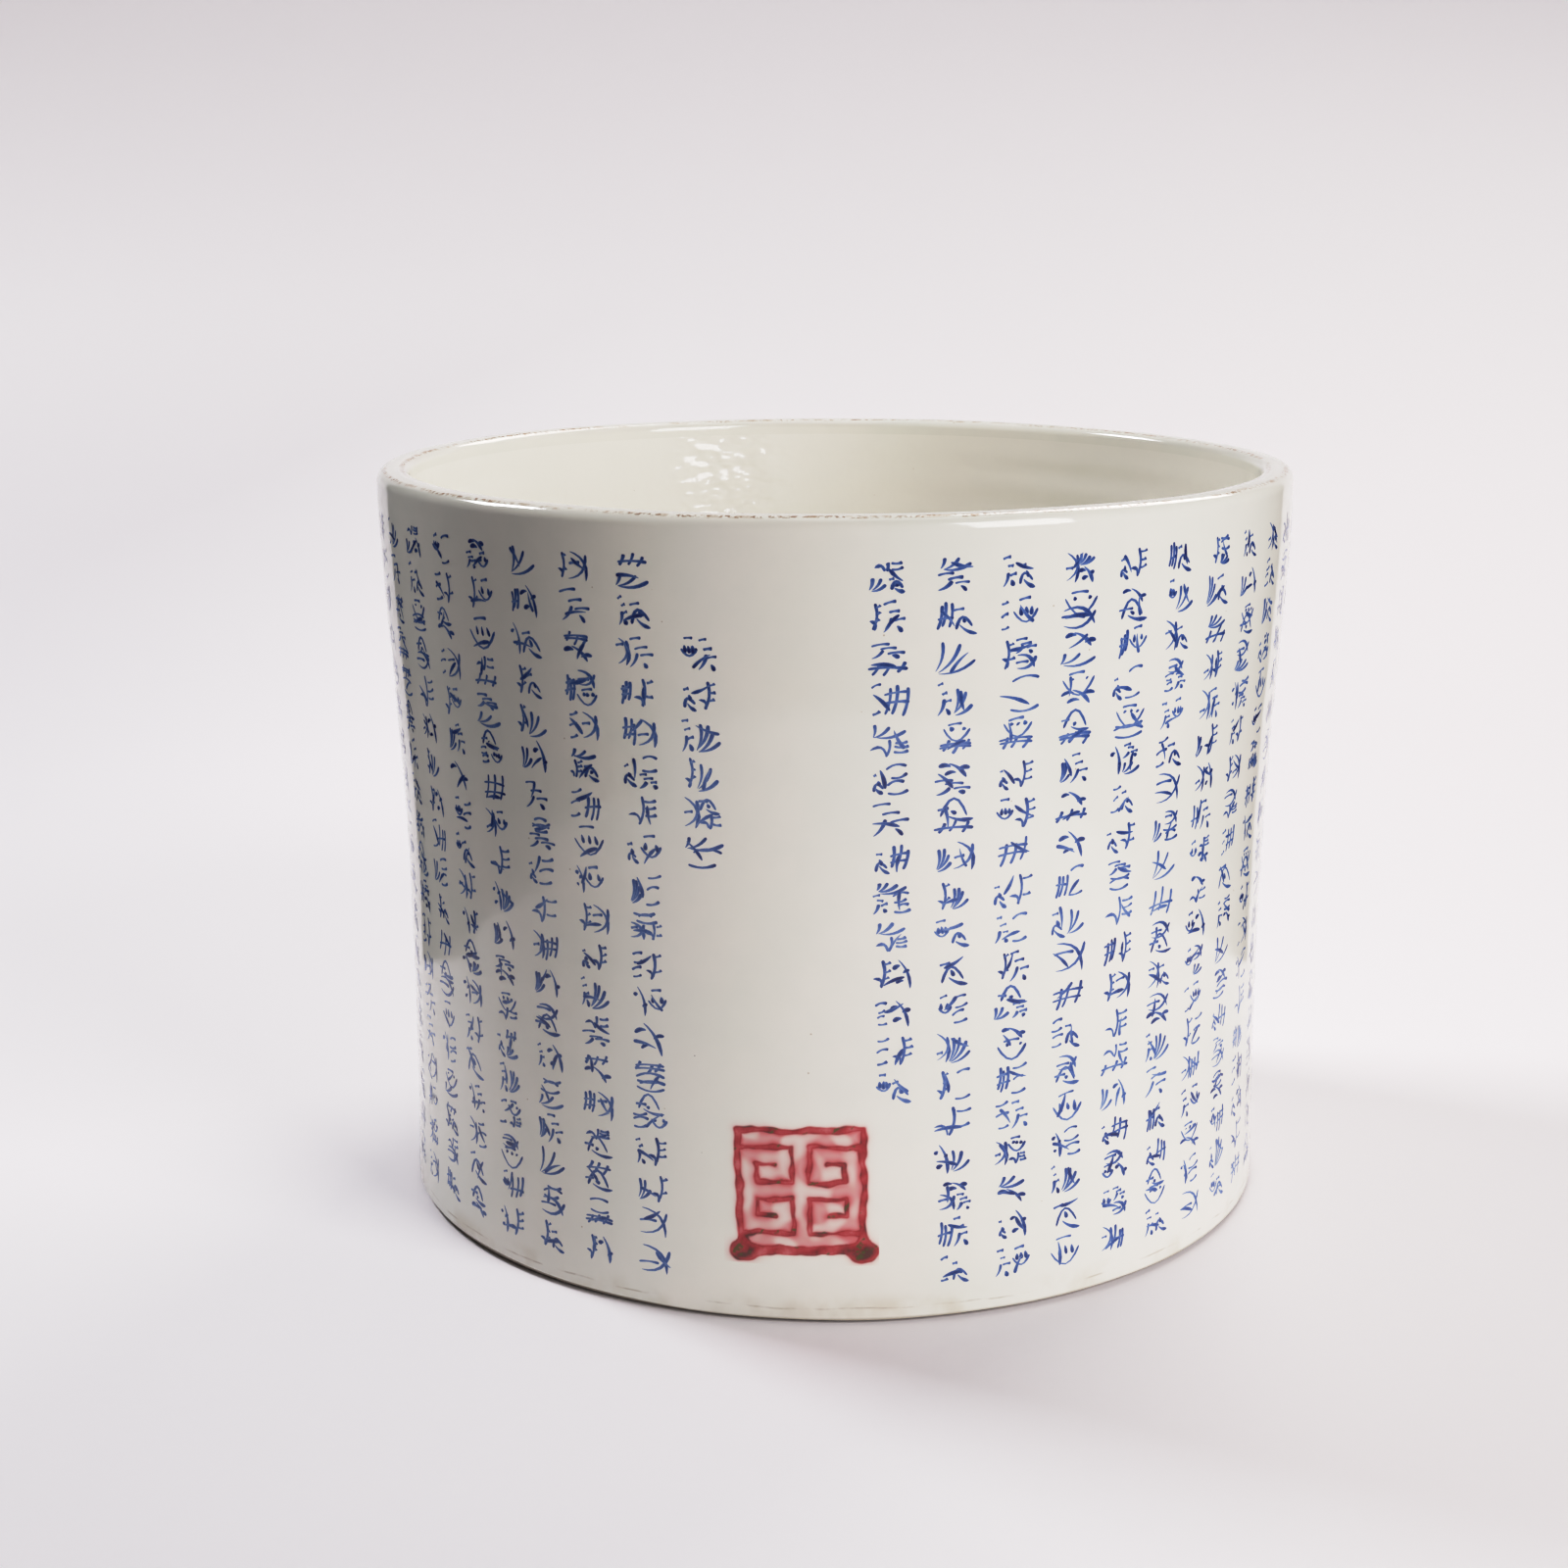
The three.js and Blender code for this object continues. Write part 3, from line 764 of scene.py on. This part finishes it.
def cobalt_blue():
    """Cobalt under glaze: mottled, washed out where the brush ran dry and violet black where it pooled."""
    paint = Paint("cobalt_blue", **glaze_gloss)
    mottle = 0.34 * paint.noise(0.5, 2) - 0.17
    loads = 0.3 * paint.noise(11, 1) - 0.15
    colour = paint.shades(
        paint.field("ink") + mottle + loads, (0.0, (0.42, 0.48, 0.60)), (0.25, (0.17, 0.26, 0.50)),
        (0.5, (0.075, 0.14, 0.36)), (0.75, (0.04, 0.07, 0.235)), (1.0, (0.026, 0.026, 0.115)))
    return paint.finish(colour)


cobalt = cobalt_blue()
written = places - bare_places
# Each stroke of a mark lies a hair higher than the one before it.
least_lift, next_lift = 0.006, 0.004
for index in range(written):
    dice = np.random.default_rng(4100 + index)
    middle = panel_angle - (index + (bare_places + 1) / 2) * column_pitch
    count, top = full_column, column_top
    if index == 0:
        count, top = title_column, title_top
    if index == written - 1:
        count = closing_column
    # The brush leans as the work goes on: later columns start further left than they end.
    lean = np.radians(-1.5) * np.clip((index - written / 2) / (written / 4), 0, 1)
    strokes, centres, sizes, wetness, lifts = [], [], [], [], []
    for mark in range(count):
        rows = brush_mark(dice)
        down_share = (mark + 0.5) / count
        shift = lean * (1 - down_share) + np.radians(dice.normal(0, 0.1))
        centre = (shift, top - (mark + 0.5) * mark_pitch + dice.normal(0, 0.12))
        size = np.array(mark_size) * dice.uniform(0.88, 1.02) * [dice.uniform(0.86, 1.04), 1]
        strokes.append(rows)
        centres.append(np.tile(centre, (len(rows), 1)))
        sizes.append(np.tile(size, (len(rows), 1)))
        dip = 1.12 - 0.09 * (mark % 5) + dice.uniform(-0.08, 0.08)
        wetness.append(dip + dice.uniform(-0.1, 0.1, len(rows)))
        lifts.append(least_lift + next_lift * np.arange(len(rows)))
    strokes, centres, sizes = (np.concatenate(part) for part in (strokes, centres, sizes))
    jitter = dice.normal(0, 0.018, (len(strokes), 4))
    ends_of = (strokes[:, 1:5] + jitter - 0.5) * np.tile(sizes, 2)
    starts, ends = ends_of[:, :2] + [0, 1] * centres, ends_of[:, 2:] + [0, 1] * centres
    shifts = centres[:, 0]
    piece = lay_strokes(
        f"brush_marks_{index + 1:02d}", strokes[:, 0].astype(int), starts, ends, strokes[:, 5],
        dice.uniform(0.98, 1.35, len(strokes)), np.concatenate(wetness), np.concatenate(lifts),
        lambda x, y, lift: on_wall(middle + shifts[:, None, None] + x / foot_radius, y, lift))
    settle(piece, cobalt, "cobalt_blue", f"brush_column_{index + 1:02d}")

# ---- The seal device ----
# A square device in copper red, painted like a carved seal: a frame round four frets. The colour has run at
# the edges, pooled dark in the lower corners and fired green where it lies thickest.

seal_low, seal_high = (corner[2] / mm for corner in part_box("seal_device"))
seal_width = 25.2
seal_height = 0.98 * (seal_high - seal_low)
seal_middle = (seal_low + seal_high) / 2
halo_margin = 2.2
weave = 0.16
fret_cells = 15
# The corners of one fret, in cells from the low left corner of the device.
fret_path = [(0, 2), (6, 2), (6, 6), (2, 6), (2, 4), (4, 4)]
line_half, frame_half, sill_half = 0.5, 0.68, 1.05
bleed = 0.16
paint_rise = 0.02


def ripple(x, y, size, seed):
    """Smooth random unevenness from about -1 to 1: eight sine waves in random directions, added up."""
    dice = np.random.default_rng(seed)
    angles, phases = dice.uniform(0, 2 * np.pi, (2, 8))
    waves = 2 * np.pi / (size * dice.uniform(0.7, 1.6, 8))
    total = sum(np.sin(w * (x * np.cos(a) + y * np.sin(a)) + p) for w, a, p in zip(waves, angles, phases))
    return total / 3.2


def nearest(x, y, segments):
    """The distance from each point to the nearest of some segments, each (x0, y0, x1, y1)."""
    ends = np.asarray(segments, float)
    start, run = ends[:, :2], ends[:, 2:] - ends[:, :2]
    away = np.stack([x, y], axis=-1)[..., None, :] - start
    along = np.clip((away * run).sum(-1) / np.maximum((run ** 2).sum(-1), 1e-9), 0, 1)
    return np.linalg.norm(away - along[..., None] * run, axis=-1).min(-1)


def rising(value, low, high):
    """Goes smoothly from 0 at low to 1 at high."""
    t = np.clip((value - low) / (high - low), 0, 1)
    return t * t * (3 - 2 * t)


def fret_segments():
    """The frame, and one fret mirrored into the four quarters, as segments in cells from the middle."""
    reach = (fret_cells - 1) / 2
    path = np.array(fret_path, float) - reach
    frame_path = reach * np.array([(-1, -1), (1, -1), (1, 1), (-1, 1), (-1, -1)])
    quarters = [path * mirror for mirror in ((1, 1), (-1, 1), (1, -1), (-1, -1))]
    return np.concatenate([np.hstack([line[:-1], line[1:]]) for line in [frame_path, *quarters]])


def seal_fields(x, y):
    """Four fields at points of the device, in millimetres from its middle.

    The points are shifted a little by ripples, so that the lines waver, and all four come from how far each
    lies inside the nearest line. Pigment is 1 on a line and 0 off it, halo is the blush round and between
    the lines, pool is how thick the colour lies, and copper is where it fired green."""
    drawn_x = x + 0.22 * ripple(x, y, 9, 1) + 0.09 * ripple(x, y, 2.5, 2) + 0.025 * y * (1 - x / seal_width)
    drawn_y = y + 0.22 * ripple(x, y, 9, 3) + 0.09 * ripple(x, y, 2.5, 4) - 0.02 * x
    cell = np.array([seal_width, seal_height]) / fret_cells
    segments = fret_segments() * np.tile(cell, 2)
    to_line = nearest(drawn_x, drawn_y, segments)
    frame_only = nearest(drawn_x, drawn_y, segments[:4])
    on_frame = rising(0.75 * cell[0] - frame_only, -0.2, 0.4)
    on_sill = on_frame * rising(-drawn_y, 5.6 * cell[1], 6.2 * cell[1])
    half = line_half + (frame_half - line_half) * on_frame + (sill_half - frame_half) * on_sill
    half = half + 0.15 * ripple(x, y, 5, 5)
    # Runs in the two lower corners, where the colour slid down before it set.
    corner_x, corner_y = np.abs(drawn_x) - 6.9 * cell[0], drawn_y + 7.1 * cell[1]
    blob = 2.3 - np.hypot(corner_x * 0.8, corner_y + 0.3)
    inside = np.maximum(half - to_line, blob) + 0.35 * np.exp(-((half - to_line - blob) / 0.8) ** 2)
    pigment = rising(inside, -bleed, bleed)
    wash = 0.5 + 0.5 * ripple(x, y, 7, 6)
    within = rising(seal_width / 2 + 0.2 - np.maximum(np.abs(drawn_x), np.abs(drawn_y)), 0, 0.8)
    halo = np.exp(-np.maximum(-inside, 0) / 0.5) * 0.5 + within * (0.24 + rising(wash, 0.15, 0.75) * 0.44)
    rim_of_line = np.exp(-((inside - 0.16) / 0.14) ** 2)
    pool = 0.45 + 0.3 * rim_of_line + 0.25 * ripple(x, y, 3.5, 7) + 0.5 * rising(blob, -0.2, 1.2)
    copper = rising(ripple(x, y, 2.6, 8) + 0.5 * ripple(x, y, 0.9, 9) + 0.9 * rising(blob, 0, 1.4), 1.0, 1.5)
    return {"pigment": pigment, "halo": halo, "pool": pool, "copper": copper}


def seal_patch():
    """A patch of the wall, woven finely enough to carry the painted lines, closed by a fan behind it.

    It stands a hair off the wall, is thicker under the pigment, and turns down at its hem into the glaze."""
    x = evenly(-seal_width / 2 - halo_margin, seal_width / 2 + halo_margin, weave)
    y = evenly(-seal_height / 2 - halo_margin, seal_height / 2 + halo_margin, weave)
    x, y = np.meshgrid(x, y)
    fields = seal_fields(x, y)
    angle = panel_angle + x / outside_radius(seal_middle)
    points = on_wall(angle, seal_middle + y, least_lift + paint_rise * fields["pigment"])
    rows, columns = x.shape
    number = np.arange(rows * columns).reshape(rows, columns)
    border = np.concatenate([number[0, :-1], number[:-1, -1], number[-1, :0:-1], number[:0:-1, 0]])
    hem = rows * columns + np.arange(len(border))
    behind = rows * columns + len(border)
    onward = [np.roll(loop, -1) for loop in (border, hem)]
    rim = np.stack([onward[0], border, hem, onward[1]], axis=-1)
    fan_behind = np.stack([onward[1], hem, np.full(len(border), behind)], axis=-1)
    hem_points = on_wall(angle.ravel()[border], seal_middle + y.ravel()[border], -0.5 * coat)
    back_point = on_wall(np.array([panel_angle]), np.array([seal_middle]), -coat)
    points = np.concatenate([points.reshape(-1, 3), hem_points, back_point])
    fields = {name: np.append(field.ravel(), np.zeros(len(border) + 1)) for name, field in fields.items()}
    return put_mesh("seal_patch", points, grid_faces(rows, columns), rim, fan_behind, **fields)


def copper_red():
    """Copper red on the glaze colour: rosy where thin, wine red in the body, dark and green in its pools."""
    paint = Paint("copper_red", **glaze_gloss)
    pigment, halo, pool, copper = (paint.field(name) for name in ("pigment", "halo", "pool", "copper"))
    colour = glaze_colour(paint)
    colour = paint.mix(halo, colour, (0.62, 0.19, 0.20))
    grain = 0.5 * paint.noise(0.7, 3) - 0.25
    red = paint.shades(
        pool + grain, (0.0, (0.58, 0.17, 0.18)), (0.3, (0.48, 0.07, 0.08)), (0.6, (0.39, 0.032, 0.038)),
        (0.85, (0.26, 0.018, 0.022)), (1.0, (0.10, 0.022, 0.014)))
    colour = paint.mix(pigment * 0.94, colour, red)
    colour = paint.mix(copper * pigment * 0.85, colour, (0.10, 0.095, 0.03))
    glaze_relief(paint)
    return paint.finish(colour)


settle(seal_patch(), copper_red(), "copper_red", "seal_device")

# ---- The device under the base ----
# Two rings round a flower of four petals in the same cobalt blue, drawn with the pot upside down on the
# wheel. Each is one brush line that closes on itself.

ring_radii = {"base_ring_outer": 19.0, "base_ring_inner": 16.6}
flower_radius, flower_waist, petals = 9.0, 3.0, 4
ring_steps, flower_steps = 240, 320


def under_the_base(x, y, lift):
    """The point on the glaze of the recess, seen from below with +X to the right, lowered by a lift."""
    return np.stack([x, -y, recess_face - lift + 0 * x], axis=-1)


def drawn_round(name, radius_at, half_at, steps):
    """One closed brush line round the middle, as a lens-shaped band: its edges and its crown go right round.

    The line is a radius as a function of the angle, and so is its half-width."""
    a = np.linspace(0, 2 * np.pi, steps, endpoint=False)[:, None]
    side = np.array([1, 0, -1])
    reach = radius_at(a) + half_at(a) * side
    lift = least_lift + np.array([0, paint_rise, 0]) + 0 * reach
    points = under_the_base(reach * np.cos(a), reach * np.sin(a), lift)
    ink = (0.55 + 0.2 * np.sin(a + 1) + 0.15 * np.sin(5 * a)) * ink_across
    faces = grid_faces(steps, 3, closed_rows=True, closed_columns=True)
    return put_mesh(name, points.reshape(-1, 3), faces[:, ::-1], ink=ink)


for node, ring_radius in ring_radii.items():
    piece = drawn_round(
        node.replace("base", "painted"), lambda a: ring_radius + 0.12 * np.sin(3 * a) + 0.06 * np.sin(7 * a),
        lambda a: 0.42 + 0.1 * np.sin(2 * a + ring_radius) + 0.05 * np.sin(9 * a), ring_steps)
    settle(piece, cobalt, "cobalt_blue", node)

# The flower's line swings in and out round its petals.
petal_line = drawn_round(
    "painted_flower",
    lambda a: flower_waist + (flower_radius - flower_waist) * np.abs(np.cos(petals * a / 2)) ** 0.8,
    lambda a: 0.38 + 0.14 * np.cos(petals * a + 0.4), flower_steps)
settle(petal_line, cobalt, "cobalt_blue", "base_flower")

# ---- The studio ----
# A pale floor that sweeps up into a backdrop all round. Only the floor round the pot and the part behind it
# light it. The rest shows to the camera alone, as the room there is dark, and glows evenly, as the lamps hang
# in front of it.

sweep_centre = (0.0, -0.15)
near_floor, mid_floor, flat_floor, sweep_bend, wall_rise = 0.32, 0.5, 0.62, 0.7, 1.6
lit_half_angle = 34


def pale_paper(name, glow):
    """Matt paper, white with a breath of lilac, painted greyer low down on the left as painted shade.

    Where it glows, away from the pot and from the lit part, it shows an even pale light and no other."""
    paint = Paint(name, Roughness=0.9, IOR=1.3, Emission_Strength=glow)
    x, y, z = paint.coordinates()
    # Painted shade: the paper is greyed low down on the left.
    lit = paint.math("MAXIMUM", paint.ramp(x, -400, -80), paint.ramp(z, 20, 160))
    white = paint.mix(paint.noise(3.0, 3), (0.93, 0.905, 0.93), (0.94, 0.915, 0.94))
    colour = paint.mix(lit, (0.74, 0.72, 0.75), white)
    back = y - sweep_centre[1] / mm
    away = paint.math("SQRT", x * x + back * back)
    aside = paint.math("ABSOLUTE", x) - back * float(np.tan(np.radians(lit_half_angle)))
    share = glow * paint.ramp(away, near_floor / mm + 10, 600) * paint.ramp(aside, 0, 250)
    glowing = paint.mix(share, (0.0, 0.0, 0.0), (0.69, 0.67, 0.685))
    paint.feed(paint.shader.inputs["Emission Color"], glowing)
    return paint.finish(paint.mix(share, colour, (0.0, 0.0, 0.0)))


def sweep(name, paper, radii, heights, start, stop):
    """Part of the floor and backdrop: an outline spun by whole degrees between two angles, where 0 is +Y."""
    angle = np.radians(np.arange(start, stop + 1))[:, None]
    x = sweep_centre[0] + radii * np.sin(angle)
    y = sweep_centre[1] + radii * np.cos(angle)
    points = np.stack([x, y, heights + 0 * x], axis=-1) / mm
    piece = put_mesh(name, points.reshape(-1, 3), grid_faces(len(angle), len(radii)))
    piece.data.materials.append(paper)
    return piece


lit_paper, screen_paper = pale_paper("pale_paper", 0.0), pale_paper("screen_paper", 1.0)
floor_radii = np.array([0.0, 0.1, 0.2, near_floor])
turn = np.linspace(0, np.pi / 2, 33)
sweep_radii = np.concatenate([[near_floor, mid_floor], flat_floor + sweep_bend * np.sin(turn)])
sweep_radii = np.append(sweep_radii, flat_floor + sweep_bend)
sweep_heights = np.concatenate([[0, 0], sweep_bend * (1 - np.cos(turn)), [wall_rise]])
sweep("floor", lit_paper, floor_radii, 0 * floor_radii, 0, 360)
sweep("backdrop", lit_paper, sweep_radii, sweep_heights, -lit_half_angle, lit_half_angle)
screen = sweep("room_screen", screen_paper, sweep_radii, sweep_heights, lit_half_angle, 360 - lit_half_angle)
for ray in ("diffuse", "glossy", "shadow", "transmission"):
    setattr(screen, "visible_" + ray, False)


def soft_box(name, azimuth, elevation, distance, width, tall, watts, tint=(1, 1, 1)):
    """A rectangular soft box that faces the pot, at an azimuth from -Y towards +X."""
    data = bpy.data.lights.new(name, "AREA")
    data.shape, data.size, data.size_y = "RECTANGLE", width, tall
    data.energy, data.color = watts, tint
    box = bpy.data.objects.new(name, data)
    a, e = np.radians([azimuth, elevation])
    aim = np.array([0, 0, height * mm / 2])
    way = np.array([np.sin(a) * np.cos(e), -np.cos(a) * np.cos(e), np.sin(e)])
    box.location = aim + distance * way
    box.rotation_euler = (np.pi / 2 - e, 0, a)
    box.visible_camera = False
    bpy.context.scene.collection.objects.link(box)


soft_box("key", 44, 23, 1.15, 0.5, 0.8, 8.7, (1, 0.96, 0.96))
soft_box("top", 100, 84, 1.1, 0.5, 0.5, 0.5, (1, 0.98, 0.95))
soft_box("back_left", -119, 45, 0.95, 0.22, 0.22, 4.3, (0.97, 0.96, 1))
soft_box("back_right", 150, 45, 1.0, 0.5, 0.4, 3.4, (1, 0.92, 0.88))

world = bpy.data.worlds.new("room")
world.use_nodes = True
background = world.node_tree.nodes["Background"].inputs
background["Color"].default_value = (0.9, 0.9, 0.95, 1)
background["Strength"].default_value = 0.02
bpy.context.scene.world = world

# The film darkens the shades a little, lifts the middle tones and rolls the lights off.
film = bpy.context.scene.view_settings
film.view_transform = "Standard"
film.use_curve_mapping = True
tone = film.curve_mapping.curves[3]
for shade, printed in ((0.1, 0.085), (0.2, 0.2), (0.35, 0.44), (0.55, 0.70), (0.75, 0.83)):
    tone.points.new(shade, printed)
tone.points[-1].location = (1, 0.93)
film.curve_mapping.update()

# ---- The camera ----
# A long lens a little above the lip, looking down into the mouth. It is shifted, not turned, to set the pot
# right of the middle and low in the frame.

lens = bpy.data.cameras.new("camera")
lens.lens, lens.sensor_width = 57.9, 36
lens.shift_x, lens.shift_y = -0.0325, 0.0625
camera = bpy.data.objects.new("camera", lens)
camera.location = (0, -0.5338, 0.2109)
camera.rotation_euler = (np.radians(74.4), 0, 0)
bpy.context.scene.collection.objects.link(camera)
bpy.context.scene.camera = camera
